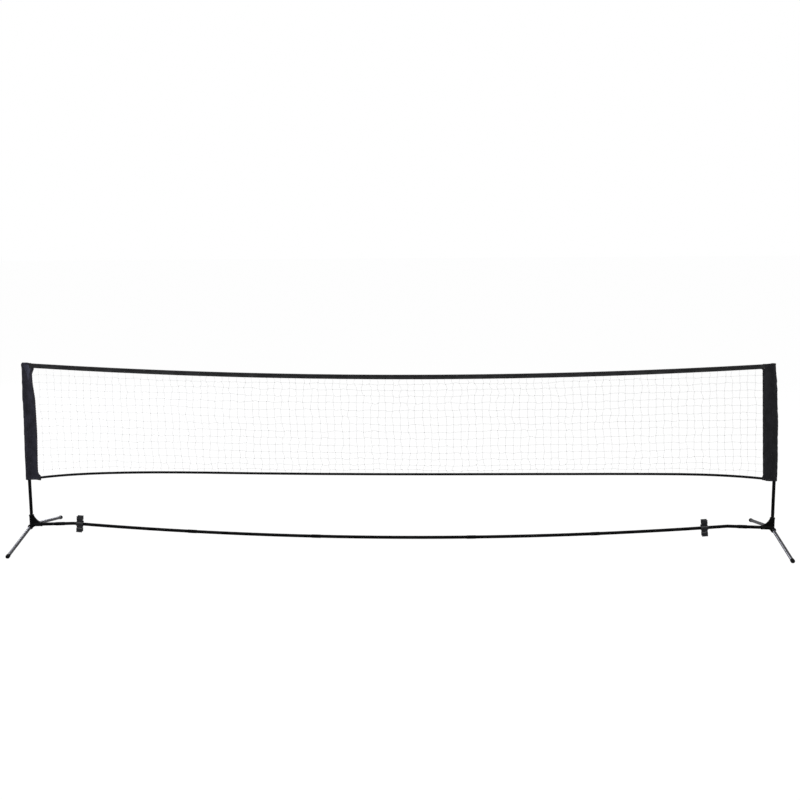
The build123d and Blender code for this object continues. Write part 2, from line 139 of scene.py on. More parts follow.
def grid_faces(rows, columns, close_columns=False):
    """Quads of a grid of points stored row by row."""
    i = np.arange(rows - 1)[:, None]
    j = np.arange(columns if close_columns else columns - 1)[None, :]
    k = (j + 1) % columns
    quads = np.stack([i * columns + j, i * columns + k, (i + 1) * columns + k, (i + 1) * columns + j], -1)
    return quads.reshape(-1, 4)


def copies(faces, count, size):
    """The same quads for many shapes of this many points each."""
    return (faces[None] + (np.arange(count) * size)[:, None, None]).reshape(-1, 4)


def tubes(lines, radius, sides, side_a, side_b):
    """Tubes along many lines at once. lines is (count, n, 3); side_a and side_b span the section."""
    count, n, _ = lines.shape
    angle = np.arange(sides) * math.tau / sides
    ring = radius * (np.cos(angle)[:, None] * side_a + np.sin(angle)[:, None] * side_b)
    points = lines[:, :, None, :] + ring[None, None, :, :]
    runs = np.cumsum(np.linalg.norm(np.diff(lines, axis=1), axis=2), axis=1)
    steps = np.concatenate([np.zeros((count, 1)), runs], axis=1)
    uv = np.stack(
        [np.repeat(steps[:, :, None], sides, 2), np.broadcast_to(angle * radius, (count, n, sides))], -1
    )
    return points.reshape(-1, 3), copies(grid_faces(n, sides, True), count, n * sides), uv.reshape(-1, 2)


class Heap:
    """Collects points, quads and uvs of many small shapes for one mesh."""

    def __init__(self):
        self.points, self.faces, self.uvs, self.size = [], [], [], 0

    def add(self, points, faces, uvs):
        self.points.append(points)
        self.faces.append(faces + self.size)
        self.uvs.append(uvs)
        self.size += len(points)

    def piece(self, name, body, material, slot):
        points, faces, uvs = (np.concatenate(part) for part in (self.points, self.faces, self.uvs))
        return mesh_piece(name, points, faces, body, material, uvs)


def stitches(heap, line, normals, pitch, length, radius=STITCH_R):
    """A row of thread stitches along a line that lies on cloth, standing half out of it."""
    line, normals = np.asarray(line, float), np.asarray(normals, float)
    along = np.concatenate([[0], np.cumsum(np.linalg.norm(np.diff(line, axis=0), axis=1))])
    count = int(along[-1] / pitch)
    if count < 1:
        return
    start = (along[-1] - count * pitch) / 2 + np.arange(count) * pitch + (pitch - length) / 2
    parts = np.array([0.0, 0.28, 0.72, 1.0])
    swell = np.array([0.35, 1.0, 1.0, 0.35])
    lift = np.array([-0.5, 0.45, 0.45, -0.5]) * radius
    where = start[:, None] + parts[None, :] * length

    def at(values):
        return np.stack([np.interp(where, along, values[:, c]) for c in range(3)], -1)

    centre, up = at(line), at(normals)
    up = up / np.linalg.norm(up, axis=-1, keepdims=True)
    ahead = centre[:, -1:] - centre[:, :1]
    ahead = ahead / np.linalg.norm(ahead, axis=-1, keepdims=True)
    across = np.cross(np.broadcast_to(ahead, up.shape), up)
    centre = centre + up * lift[None, :, None]
    angle = np.arange(4) * math.tau / 4 + math.pi / 4
    cos_part, sin_part = np.cos(angle)[None, None, :, None], np.sin(angle)[None, None, :, None]
    ring = cos_part * across[:, :, None] + sin_part * up[:, :, None]
    points = centre[:, :, None] + ring * (radius * swell)[None, :, None, None]
    rings, sides = len(parts), len(angle)
    uv = np.stack(
        [
            np.broadcast_to(where[:, :, None], (count, rings, sides)),
            np.broadcast_to(angle * radius, (count, rings, sides)),
        ],
        -1,
    )
    faces = copies(grid_faces(rings, sides, True), count, rings * sides)
    heap.add(points.reshape(-1, 3), faces, uv.reshape(-1, 2))


def solid_sheet(obj):
    """Gives a sheet of sleeve cloth its thickness, inward from the face it was drawn with."""
    modifier = obj.modifiers.new("cloth", "SOLIDIFY")
    modifier.thickness = CLOTH
    modifier.offset = -1.0
    bpy.context.view_layer.objects.active = obj
    with bpy.context.temp_override(object=obj, active_object=obj):
        bpy.ops.object.modifier_apply(modifier=modifier.name)
    obj.data.polygons.foreach_set("use_smooth", [True] * len(obj.data.polygons))


# ---------------------------------------------------------------- materials

def shader(name, colour, rough, metallic=0.0, specular=0.5, sheen=0.0, coat=0.0):
    """A principled material; returns it with its node tree and shader node."""
    material = bpy.data.materials.new(name)
    material.use_nodes = True
    tree = material.node_tree
    bsdf = tree.nodes["Principled BSDF"]
    bsdf.inputs["Base Color"].default_value = (*colour, 1)
    bsdf.inputs["Roughness"].default_value = rough
    bsdf.inputs["Metallic"].default_value = metallic
    bsdf.inputs["Specular IOR Level"].default_value = specular
    bsdf.inputs["Sheen Weight"].default_value = sheen
    bsdf.inputs["Sheen Roughness"].default_value = 0.5
    bsdf.inputs["Coat Weight"].default_value = coat
    bsdf.inputs["Coat Roughness"].default_value = 0.25
    return material, tree, bsdf


def node(tree, kind, **values):
    made = tree.nodes.new(kind)
    for key, value in values.items():
        if key in made.inputs:
            made.inputs[key].default_value = value
        else:
            setattr(made, key, value)
    return made


def coordinates(tree, scale=(1, 1, 1), source="Object"):
    place = node(tree, "ShaderNodeTexCoord")
    mapping = node(tree, "ShaderNodeMapping", Scale=scale)
    tree.links.new(place.outputs[source], mapping.inputs["Vector"])
    return mapping.outputs["Vector"]


def noise(tree, vector, scale=1.0, detail=3.0, rough=0.55):
    made = node(tree, "ShaderNodeTexNoise", Scale=scale, Detail=detail, Roughness=rough)
    tree.links.new(vector, made.inputs["Vector"])
    return made.outputs["Fac"]


def spread(tree, value, low, high, out_low, out_high):
    made = node(tree, "ShaderNodeMapRange")
    for index, number in zip((1, 2, 3, 4), (low, high, out_low, out_high)):
        made.inputs[index].default_value = number
    tree.links.new(value, made.inputs[0])
    return made.outputs[0]


def mixed(tree, factor, first, second):
    """Colour between two colours or sockets by a factor socket."""
    made = node(tree, "ShaderNodeMix", data_type="RGBA")
    tree.links.new(factor, made.inputs[0])
    for index, colour in ((6, first), (7, second)):
        if isinstance(colour, tuple):
            made.inputs[index].default_value = (*colour, 1)
        else:
            tree.links.new(colour, made.inputs[index])
    return made.outputs[2]


def calc(tree, operation, first, second=None):
    made = node(tree, "ShaderNodeMath", operation=operation)
    for index, value in enumerate((first, second)):
        if value is None:
            continue
        if isinstance(value, (int, float)):
            made.inputs[index].default_value = value
        else:
            tree.links.new(value, made.inputs[index])
    return made.outputs[0]


def bumped(tree, bsdf, height, strength, distance):
    made = node(tree, "ShaderNodeBump", Strength=strength, Distance=distance)
    tree.links.new(height, made.inputs["Height"])
    tree.links.new(made.outputs["Normal"], bsdf.inputs["Normal"])


def powder_coat(name, colour, worn, specular=0.12):
    """Black powder coat: orange peel, faint dust, scratches that run along the tube."""
    material, tree, bsdf = shader(name, colour, 0.34, specular=specular)
    fine = noise(tree, coordinates(tree), 1100, 2)
    broad = noise(tree, coordinates(tree), 14, 4)
    scratch = noise(tree, coordinates(tree, (9, 700, 700)), 1.0, 2, 0.4)
    upright = noise(tree, coordinates(tree, (700, 700, 9)), 1.0, 2, 0.4)
    lines = [spread(tree, way, 0.66, 0.74, 0, 1) for way in (scratch, upright)]
    marks = calc(tree, "MAXIMUM", *lines)
    marks = calc(tree, "MULTIPLY", marks, spread(tree, broad, 0.45, 0.7, 0, 0.8))
    dusty = mixed(tree, spread(tree, broad, 0.3, 0.75, 0, 1), colour, tuple(1.7 * c + 0.002 for c in colour))
    tree.links.new(mixed(tree, marks, dusty, worn), bsdf.inputs["Base Color"])
    tree.links.new(spread(tree, broad, 0.3, 0.7, 0.29, 0.43), bsdf.inputs["Roughness"])
    bumped(tree, bsdf, fine, 0.12, 0.0004)
    return material


def leg_metal(name, colour):
    """Bare galvanised tube: drawn streaks along the leg, spangle and small dull patches."""
    material, tree, bsdf = shader(name, colour, 0.3, metallic=1.0)
    streaks = noise(tree, coordinates(tree, (900, 7, 260)), 1.0, 3)
    patches = noise(tree, coordinates(tree), 55, 4, 0.65)
    spangle = node(tree, "ShaderNodeTexVoronoi", Scale=210.0)
    tree.links.new(coordinates(tree, (1, 0.45, 1)), spangle.inputs["Vector"])
    dark = tuple(0.62 * c for c in colour)
    light = tuple(min(1.0, 1.22 * c) for c in colour)
    drawn = mixed(tree, spread(tree, streaks, 0.3, 0.7, 0, 1), dark, light)
    spotted = mixed(tree, spread(tree, patches, 0.52, 0.72, 0, 0.25), drawn, tuple(0.5 * c for c in colour))
    tree.links.new(spotted, bsdf.inputs["Base Color"])
    crystals = calc(tree, "MULTIPLY", spangle.outputs[0], 0.05)
    wear = calc(tree, "ADD", spread(tree, patches, 0.3, 0.7, 0.17, 0.25), crystals)
    tree.links.new(wear, bsdf.inputs["Roughness"])
    bumped(tree, bsdf, streaks, 0.10, 0.0003)
    return material


def moulded(name, colour, rough, specular=0.25, grain=1500):
    """Moulded plastic or rubber: fine spark-eroded grain with flow marks and rubbed spots."""
    material, tree, bsdf = shader(name, colour, rough, specular=specular)
    fine = noise(tree, coordinates(tree), grain, 3)
    flow = noise(tree, coordinates(tree, (18, 18, 45)), 1.0, 4)
    rubbed = spread(tree, flow, 0.58, 0.75, 0, 1)
    tone = mixed(tree, spread(tree, flow, 0.3, 0.65, 0, 1), colour, tuple(1.5 * c + 0.002 for c in colour))
    shiny = tuple(2.2 * c + 0.006 for c in colour)
    tree.links.new(mixed(tree, rubbed, tone, shiny), bsdf.inputs["Base Color"])
    tree.links.new(spread(tree, flow, 0.3, 0.75, rough + 0.08, rough - 0.1), bsdf.inputs["Roughness"])
    bumped(tree, bsdf, fine, 0.25, 0.0004)
    return material


def plated(name, colour, rough):
    """Zinc-plated or spring steel: turned rings, tarnish."""
    material, tree, bsdf = shader(name, colour, rough, metallic=1.0)
    cloud = noise(tree, coordinates(tree), 260, 4)
    turned = noise(tree, coordinates(tree, (2600, 300, 2600)), 1.0, 2)
    tree.links.new(
        mixed(tree, spread(tree, cloud, 0.35, 0.7, 0, 1), tuple(0.6 * c for c in colour), colour),
        bsdf.inputs["Base Color"],
    )
    tree.links.new(spread(tree, cloud, 0.3, 0.7, rough - 0.08, rough + 0.12), bsdf.inputs["Roughness"])
    bumped(tree, bsdf, turned, 0.15, 0.0002)
    return material


def woven(name, colour, light, threads=1100.0, sheen=0.18, rough=0.82, specular=0.2):
    """Plain-woven polyester over uvs in metres: warp and weft with painted shade between the threads, slubs,
    creased and dusty tones.
    """
    material, tree, bsdf = shader(name, colour, rough, specular=specular, sheen=sheen)
    bsdf.inputs["Sheen Tint"].default_value = (*light, 1)
    at = coordinates(tree, (threads, threads, threads), "UV")
    apart = node(tree, "ShaderNodeSeparateXYZ")
    tree.links.new(at, apart.inputs[0])
    across, along = apart.outputs[0], apart.outputs[1]
    warp = calc(tree, "ABSOLUTE", calc(tree, "SINE", calc(tree, "MULTIPLY", across, math.pi)))
    weft = calc(tree, "ABSOLUTE", calc(tree, "SINE", calc(tree, "MULTIPLY", along, math.pi)))
    checker = node(tree, "ShaderNodeTexChecker", Scale=1.0)
    tree.links.new(at, checker.inputs["Vector"])
    over = checker.outputs["Fac"]
    under = calc(tree, "SUBTRACT", 1.0, over)
    weave = calc(tree, "ADD", calc(tree, "MULTIPLY", warp, over), calc(tree, "MULTIPLY", weft, under))
    slub = noise(tree, coordinates(tree, (420, 30, 1), "UV"), 1.0, 3)
    slub_weft = noise(tree, coordinates(tree, (30, 420, 1), "UV"), 1.0, 3)
    cloud = noise(tree, coordinates(tree, (22, 14, 1), "UV"), 1.0, 5, 0.6)
    # painted shade: the cloth is painted darker where the weave dips between threads
    thread = mixed(tree, spread(tree, weave, 0.1, 1.0, 0, 1), tuple(0.45 * c for c in colour), colour)
    slubbed = mixed(
        tree, spread(tree, calc(tree, "MAXIMUM", slub, slub_weft), 0.6, 0.8, 0, 0.7), thread, light
    )
    tree.links.new(
        mixed(tree, spread(tree, cloud, 0.42, 0.72, 0, 0.5), slubbed, light), bsdf.inputs["Base Color"]
    )
    tree.links.new(spread(tree, cloud, 0.3, 0.7, rough + 0.06, rough - 0.12), bsdf.inputs["Roughness"])
    bumped(tree, bsdf, calc(tree, "ADD", weave, calc(tree, "MULTIPLY", slub, 0.8)), 0.5, 0.0003)
    return material


def twisted(name, colour, light, turns=420.0, radius=TWINE_R, painted_glare=None):
    """Twisted thread or twine: plies that wind round it, fuzz and tone along it.

    painted_glare is a paler colour painted on toward the left end: a painted highlight where the left light
    washes the twine out."""
    material, tree, bsdf = shader(name, colour, 0.7, specular=0.3, sheen=0.25)
    at = coordinates(tree, source="UV")
    apart = node(tree, "ShaderNodeSeparateXYZ")
    tree.links.new(at, apart.inputs[0])
    wind = calc(
        tree,
        "ADD",
        calc(tree, "MULTIPLY", apart.outputs[0], turns * math.tau),
        calc(tree, "MULTIPLY", apart.outputs[1], 3.0 / radius),
    )
    ply = calc(tree, "ABSOLUTE", calc(tree, "SINE", wind))
    tone = noise(tree, coordinates(tree), 38, 3)
    shade = mixed(tree, spread(tree, ply, 0.0, 0.8, 0, 1), tuple(0.4 * c for c in colour), colour)
    twine_tone = mixed(tree, spread(tree, tone, 0.35, 0.7, 0, 0.8), shade, light)
    # painted highlight: the twine is painted paler toward the left end, where the left light washes it out
    if painted_glare:
        along = node(tree, "ShaderNodeSeparateXYZ")
        tree.links.new(coordinates(tree), along.inputs[0])
        twine_tone = mixed(tree, spread(tree, along.outputs[0], -2.3, -0.9, 1, 0), twine_tone, painted_glare)
    tree.links.new(twine_tone, bsdf.inputs["Base Color"])
    bumped(tree, bsdf, ply, 0.6, 0.0003)
    return material


tube_black = powder_coat("powder_coat_black", (0.0016, 0.0016, 0.0018), (0.024, 0.024, 0.026), 0.025)
pole_black = powder_coat("inner_pole_black", (0.0045, 0.0045, 0.005), (0.05, 0.05, 0.055), 0.06)
hub_black = moulded("hub_nylon", (0.0012, 0.0012, 0.0013), 0.5, 0.03)
bush_black = moulded("bush_acetal", (0.012, 0.012, 0.012), 0.45, 0.3)
cap_black = moulded("cap_plastic", (0.003, 0.003, 0.003), 0.42, 0.08)
clip_grey = moulded("clip_plastic", (0.009, 0.009, 0.0105), 0.3, 0.25, 1200)
foot_black = moulded("foot_rubber", (0.0025, 0.0025, 0.0028), 0.62, 0.06, 900)
leg_steel = leg_metal("leg_steel", (0.34, 0.34, 0.365))
zinc = plated("zinc_screw", (0.4, 0.41, 0.43), 0.32)
black_oxide = plated("black_screw", (0.012, 0.012, 0.013), 0.4)
spring = plated("spring_steel", (0.45, 0.45, 0.46), 0.28)
button = plated("button_steel", (0.62, 0.61, 0.58), 0.2)
# the sleeves are one fabric: the left copy is painted lighter and bluer, painted light where the bluish left
# softbox falls more strongly
sleeve_left_cloth_lit = woven("sleeve_cloth_left", (0.0085, 0.0081, 0.013), (0.024, 0.0235, 0.037))
sleeve_right_cloth = woven("sleeve_cloth_right", (0.0052, 0.0052, 0.0068), (0.0125, 0.0125, 0.0165))
patch_cloth = woven("patch_cloth", (0.02, 0.021, 0.033), (0.05, 0.053, 0.078))
tape_cloth = woven("tape_cloth", (0.0092, 0.0092, 0.0098), (0.024, 0.024, 0.026), 900.0)
hem_cloth = woven("hem_cloth", (0.003, 0.003, 0.0034), (0.009, 0.009, 0.0098), 900.0, 0.05, 0.85, 0.06)
thread_dark = twisted("thread_dark", (0.014, 0.014, 0.016), (0.03, 0.03, 0.034), 900.0, STITCH_R)
thread_brown = twisted("thread_brown", (0.10, 0.036, 0.02), (0.2, 0.08, 0.045), 900.0, STITCH_R)
knot_dark = twisted("net_knot", (0.02, 0.02, 0.021), (0.05, 0.05, 0.052))
# the net's twine carries a painted highlight: it is painted paler toward its left end
twine_dark = twisted("net_twine", (0.028, 0.028, 0.029), (0.06, 0.06, 0.062), painted_glare=(0.34, 0.34, 0.35))
cord_dark = twisted("headline_cord", (0.1, 0.1, 0.1), (0.18, 0.18, 0.18), 90.0, 0.002)

FINISH = {
    "powder_coated_tube": tube_black,
    "inner_pole_steel": pole_black,
    "hub_plastic": hub_black,
    "bush_plastic": bush_black,
    "zinc_screw": zinc,
    "black_screw": black_oxide,
    "spring_steel": spring,
    "button_steel": button,
    "cap_plastic": cap_black,
    "leg_steel": leg_steel,
    "foot_rubber": foot_black,
    "clip_plastic": clip_grey,
    "sleeve_fabric": sleeve_left_cloth_lit,
    "tape_fabric": tape_cloth,
    "net_twine": twine_dark,
    "cord_nylon": cord_dark,
}
for part in frame["record"]["subparts"]:
    held = nodes[part["node"]].data.materials
    held.clear()
    held.append(FINISH[part["material_slot"]])


# ---------------------------------------------------------------- lines read from the frame

def cloud_of(name):
    """Vertices of one CAD node."""
    return np.array([v.co for v in nodes[name].data.vertices], float).reshape(-1, 3)


def edge(points):
    """Height along x of the points of one edge, as a function."""
    order = np.argsort(points[:, 0])
    xs, zs = points[order, 0], points[order, 2]
    return lambda x: np.interp(x, xs, zs)


net_low, net_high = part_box("net_mesh")
net_cloud = cloud_of("net_mesh")
middle_z = (net_low.z + net_high.z) / 2
net_top = edge(net_cloud[net_cloud[:, 2] > middle_z])
net_bottom = edge(net_cloud[net_cloud[:, 2] < middle_z])
tape_cloud = cloud_of("net_top_tape")
TAPE_H = float(np.max(tape_cloud[:, 2] - net_top(tape_cloud[:, 0])))
hem_cloud = cloud_of("net_bottom_tape")
HEM_H = float(np.max(net_bottom(hem_cloud[:, 0]) - hem_cloud[:, 2]))


def span(cloud):
    """First and last x of a band of the net."""
    return float(cloud[:, 0].min()), float(cloud[:, 0].max())


TAPE_ENDS = span(net_cloud[net_cloud[:, 2] > middle_z])
HEM_ENDS = span(net_cloud[net_cloud[:, 2] < middle_z])


def net_side(end, z):
    """The net's side edge at height z: end 0 is the left one, 1 the right one."""
    low_x, high_x = HEM_ENDS[end], TAPE_ENDS[end]
    return np.interp(z, [float(net_bottom(low_x)), float(net_top(high_x))], [low_x, high_x])


# ---------------------------------------------------------------- the net: twines and knots

def knot_grid():
    """Places of the knots, rows from the hem up: full meshes in the middle, squeezed at both edges."""
    columns = round((HEM_ENDS[1] - HEM_ENDS[0]) / MESH)
    u = np.linspace(0, 1, columns + 1)
    x = HEM_ENDS[0] + u * (HEM_ENDS[1] - HEM_ENDS[0])
    low, high = net_bottom(x) - 0.005, net_top(x) + 0.005
    spare = MESH * NET_ROWS - (high - low)
    j = np.arange(NET_ROWS)
    weight = 0.62 * np.exp(-j / 1.9) / np.exp(-j / 1.9).sum()
    weight = weight + 0.38 * np.exp(-(NET_ROWS - 1 - j) / 2.2) / np.exp(-j / 2.2).sum()
    share = 1 + 0.18 * ripple(x, x, 0.8, 0.8, 3)
    squeeze = weight[None, :] ** share[:, None]
    squeeze = squeeze / squeeze.sum(1, keepdims=True)
    heights = MESH - spare[:, None] * squeeze
    z = np.concatenate([low[:, None], low[:, None] + np.cumsum(heights, 1)], 1)
    first, last = net_side(0, z) - 0.002, net_side(1, z) + 0.002
    grid_x = first + u[:, None] * (last - first)
    inside = np.ones_like(z)
    inside[0], inside[-1] = 0.2, 0.2
    inside[:, 0], inside[:, -1] = 0.25, 0.25
    slack = np.clip(spare / 0.1, 0.15, 1.2)[:, None]
    zigzag = np.where((np.arange(columns + 1)[:, None] + np.arange(NET_ROWS + 1)[None, :]) % 2, 1, -1)
    loose = np.exp(-np.arange(NET_ROWS + 1) / 2.0) + np.exp(-(NET_ROWS - np.arange(NET_ROWS + 1)) / 2.4)
    grid_x = grid_x + inside * (
        0.0036 * ripple(grid_x, z, 0.16, 0.11, 11)
        + 0.0045 * slack * ripple(grid_x, z, 0.7, 0.25, 12)
        + 0.0034 * zigzag * (0.45 + loose[None, :]) * slack
        + rng.normal(0, 0.0012, z.shape)
    )
    z = z + inside * (
        0.0026 * ripple(grid_x, z, 0.14, 0.10, 13)
        + 0.0050 * slack * ripple(grid_x, z, 0.9, 0.3, 14)
        + rng.normal(0, 0.0012, z.shape)
    )
    y = inside * 0.0016 * ripple(grid_x, z, 0.5, 0.35, 15)
    return np.stack([grid_x, y, z], -1)


def strand(knots, sideways, seed):
    """Lines of twine through rows of knots, each span bowed by the twine it has to spare."""
    draw = np.random.default_rng(seed)
    first, last = knots[:, :-1], knots[:, 1:]
    gap = np.linalg.norm(last - first, axis=-1)
    spare = np.clip(MESH * 1.01 - gap, 0, 0.012)
    bow = np.minimum(np.sqrt(0.375 * gap * spare) * 0.55, 0.0062)
    lean = draw.choice([-1.0, 1.0], bow.shape) * draw.uniform(0.35, 1.0, bow.shape)
    parts = np.array([0.0, 0.25, 0.5, 0.75])
    shape = np.sin(np.pi * parts) + 0.25 * np.sin(2 * np.pi * parts)
    run = first[:, :, None] + (last - first)[:, :, None] * parts[None, None, :, None]
    run = run + (bow * lean)[:, :, None, None] * shape[None, None, :, None] * sideways
    count = knots.shape[0]
    line = run.reshape(count, -1, 3)
    return np.concatenate([line, knots[:, -1:]], 1)


def knot_rings(knots):
    """Two small loops of twine that lock at each knot."""
    steps, sides = 6, 4
    turn = np.arange(steps) * math.tau / steps
    section = np.arange(sides) * math.tau / sides
    heap = Heap()
    centres = knots.reshape(-1, 3)
    draw = np.random.default_rng(21)
    for tilt, roll in ((0.65, 0.3), (-0.55, 1.1)):
        outward = KNOT_R + KNOT_WIRE_R * np.cos(section)[None, :]
        ring = np.stack(
            [
                np.cos(turn)[:, None] * outward,
                np.sin(turn)[:, None] * outward,
                np.broadcast_to(KNOT_WIRE_R * np.sin(section)[None, :], (steps, sides)),
            ],
            -1,
        ).reshape(-1, 3)
        turned = ring @ np.array((Matrix.Rotation(tilt, 3, "X") @ Matrix.Rotation(roll, 3, "Y")).transposed())
        size = draw.uniform(0.85, 1.2, (len(centres), 1, 1))
        points = centres[:, None, :] + turned[None] * size
        one = grid_faces(steps, sides, True)
        wrap = np.stack(
            [
                (steps - 1) * sides + np.arange(sides),
                (steps - 1) * sides + (np.arange(sides) + 1) % sides,
                (np.arange(sides) + 1) % sides,
                np.arange(sides),
            ],
            -1,
        )
        faces = copies(np.concatenate([one, wrap]), len(centres), steps * sides)
        uv = np.stack([np.repeat(turn * KNOT_R, sides), np.tile(section * KNOT_WIRE_R, steps)], -1)
        heap.add(points.reshape(-1, 3), faces, np.tile(uv, (len(centres), 1)))
    return heap


knots = knot_grid()
twine = Heap()
EAST, NORTH, UP = np.eye(3)
down_lines = strand(knots, EAST, 31)
twine.add(*tubes(down_lines, TWINE_R, TWINE_SIDES, EAST, NORTH))
across_lines = strand(knots.transpose(1, 0, 2), UP, 32)
twine.add(*tubes(across_lines, TWINE_R, TWINE_SIDES, NORTH, UP))
net = twine.piece("net_twines", "upper_left", twine_dark, "net_twine")
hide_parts("net_mesh")
knot_rings(knots[1:-1, 1:-1]).piece("net_knots", "upper_left", knot_dark, "net_twine")


# ---------------------------------------------------------------- top and bottom tape

def fold_profile(half_edge, half_cord, height, cord_at, thickness):
    """Section of a tape folded over a cord: outer face up and over, inner face back. (y, h) pairs."""
    bulge = 0.0052
    h = np.concatenate(
        [
            np.linspace(0, cord_at - 1.5 * bulge, 7),
            cord_at + bulge * np.array([-1.0, -0.6, -0.25, 0.1, 0.45, 0.72, 0.9]),
        ]
    )
    h = np.clip(h, 0, height)
    y = half_edge + (half_cord - half_edge) * smooth(h, cord_at - 1.5 * bulge, cord_at - 0.4 * bulge)
    y = y * np.sqrt(np.clip(1 - np.clip((h - cord_at) / (height - cord_at), 0, 1) ** 2, 0, 1))
    outer = np.concatenate([np.stack([-y, h], -1), [[0, height]], np.stack([y, h], -1)[::-1]])
    inner_y = np.maximum(y - thickness, 0.0004)
    inner_h = np.minimum(h, height - thickness * 1.6)
    inner = np.concatenate(
        [np.stack([inner_y, inner_h], -1), [[0, height - thickness]], np.stack([-inner_y, inner_h], -1)[::-1]]
    )
    return outer, inner


def tape(name, base, ends, up, profile, wide, sway, body, material):
    """A folded tape along x. base(x) is the height of its open edge; up is 1 or -1 for the fold's side."""
    first_x, last_x = ends
    outer, inner = profile
    section = np.concatenate([outer, inner])
    x = np.linspace(first_x - LAP, last_x + LAP, int((last_x - first_x) / TAPE_STEP))
    over_left = smooth(x, first_x + 0.010, first_x + 0.001)
    over_right = smooth(x, last_x - 0.010, last_x - 0.001)
    extra = wide * np.maximum(over_left, over_right)
    side = np.sign(section[:, 0])
    inside = np.clip(np.minimum(x - first_x, last_x - x) / 0.05, 0, 1)
    free = 1 - np.clip(section[:, 1] / max(section[:, 1]), 0, 1) ** 0.7
    drift = sway * inside[:, None] * free[None, :] * ripple(x, x, 0.42, 0.42, 41)[:, None]
    pucker = 0.00018 * ripple(x[:, None], section[None, :, 1], 0.013, 0.02, 42) * side[None, :]
    points = np.zeros((len(x), len(section), 3))
    points[:, :, 0] = x[:, None]
    points[:, :, 1] = section[None, :, 0] + extra[:, None] * side[None, :] + drift + pucker
    points[:, :, 2] = base(x)[:, None] + up * section[None, :, 1]
    girth = np.concatenate([[0], np.cumsum(np.linalg.norm(np.diff(section, axis=0), axis=1))])
    uv = np.stack(
        [np.broadcast_to(girth[None, :], points.shape[:2]), np.broadcast_to(x[:, None], points.shape[:2])], -1
    )
    faces = grid_faces(len(x), len(section), True)
    count = len(outer)
    rims = []
    for start in (0, (len(x) - 1) * len(section)):
        rim_out = start + np.arange(count)
        rim_in = start + len(section) - 1 - np.arange(count)
        strip = np.stack([rim_out[:-1], rim_out[1:], rim_in[1:], rim_in[:-1]], -1)
        rims.append(strip if start == 0 else strip[:, ::-1])
    faces = np.concatenate([faces, *rims])
    if up > 0:
        faces = faces[:, ::-1]
    obj = mesh_piece(name, points.reshape(-1, 3), faces, body, material, uv.reshape(-1, 2))

    def row(h, face):
        """A line on the tape's face at height h, and its normals."""
        at = np.interp(h, outer[: count // 2, 1], -outer[: count // 2, 0])
        level = sway * inside * (1 - (h / max(section[:, 1])) ** 0.7) * ripple(x, x, 0.42, 0.42, 41)
        line = np.stack([x, face * (at + extra) + level, base(x) + up * h], -1)
        return line, np.broadcast_to([0.0, face, 0.0], line.shape)

    return obj, row


def top_base(x):
    return net_top(np.clip(x, *TAPE_ENDS))


def hem_base(x):
    return net_bottom(np.clip(x, *HEM_ENDS))


top_profile = fold_profile(0.0013, 0.0030, TAPE_H, TAPE_H - 0.0050, TAPE_CLOTH)
top_tape, top_row = tape(
    "top_tape", top_base, TAPE_ENDS, 1, top_profile, 0.0012, 0.0011, "upper_left", tape_cloth
)
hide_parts("net_top_tape")

hem_profile = fold_profile(0.0012, 0.0015, HEM_H, HEM_H - 0.0020, TAPE_CLOTH)
bottom_tape, hem_row = tape(
    "bottom_tape", hem_base, HEM_ENDS, -1, hem_profile, 0.0, 0.0007, "upper_left", hem_cloth
)
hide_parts("net_bottom_tape")

tape_thread = Heap()
for face in (-1, 1):
    for h in (0.0026, TAPE_H - 0.0108):
        stitches(tape_thread, *top_row(h, face), *TAPE_STITCH)
tape_thread.piece("top_tape_stitches", "upper_left", thread_dark, "tape_fabric")
hem_thread = Heap()
for face in (-1, 1):
    stitches(hem_thread, *hem_row(0.0024, face), *TAPE_STITCH)
hem_thread.piece("bottom_tape_stitches", "upper_left", thread_dark, "tape_fabric")


# ---------------------------------------------------------------- sleeves

